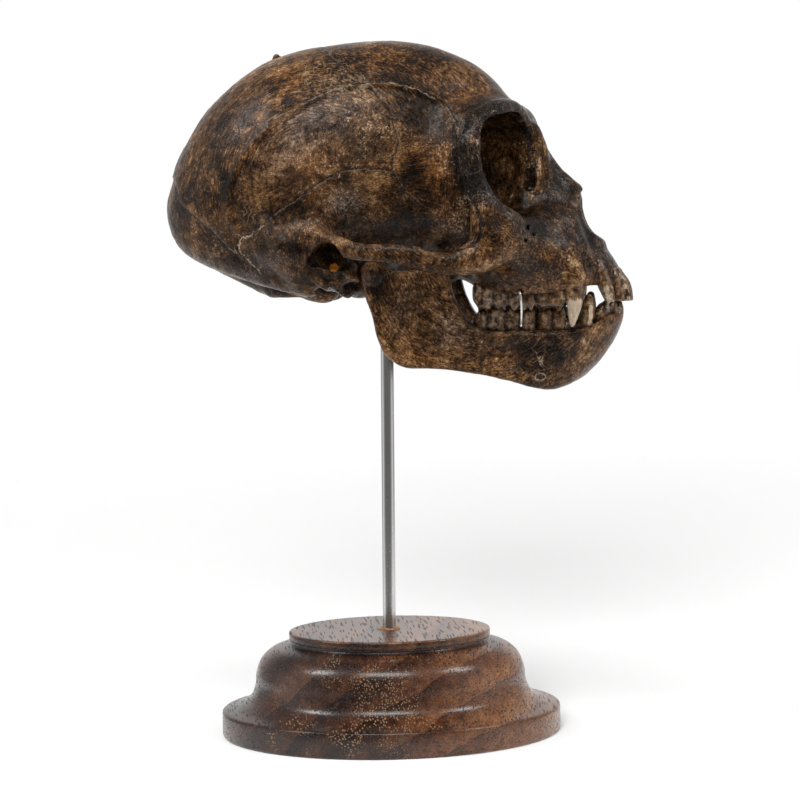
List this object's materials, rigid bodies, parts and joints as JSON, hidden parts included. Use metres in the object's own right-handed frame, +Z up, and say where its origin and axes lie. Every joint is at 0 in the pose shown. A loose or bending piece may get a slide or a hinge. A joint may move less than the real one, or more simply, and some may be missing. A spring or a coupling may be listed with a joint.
{
  "type": "mounted monkey skull",
  "caption": "Long-faced monkey skull with wired jaw and full teeth, held on a thin steel rod in a round turned walnut base.",
  "frame": {"origin": "centre of the wooden base's flat underside", "axes": "+Z up through the base, +X the way the face looks, the skull's own right side towards -Y"},
  "size_m": [0.106, 0.078, 0.1585],
  "materials": {
    "bone": "dark brown stained bone, satin, mottled with tan",
    "jaw_bone": "dark brown stained bone, satin",
    "rod_steel": "drawn bar, lightly brushed",
    "wire_steel": "bright thin wire",
    "walnut": "oiled open-pored walnut, satin"
  },
  "bodies": {
    "root": {"cranium": "bone", "mandible": "jaw_bone", "jaw_wire_right": "wire_steel", "jaw_wire_left": "wire_steel", "rod": "rod_steel", "base": "walnut"}
  },
  "joints": []
}
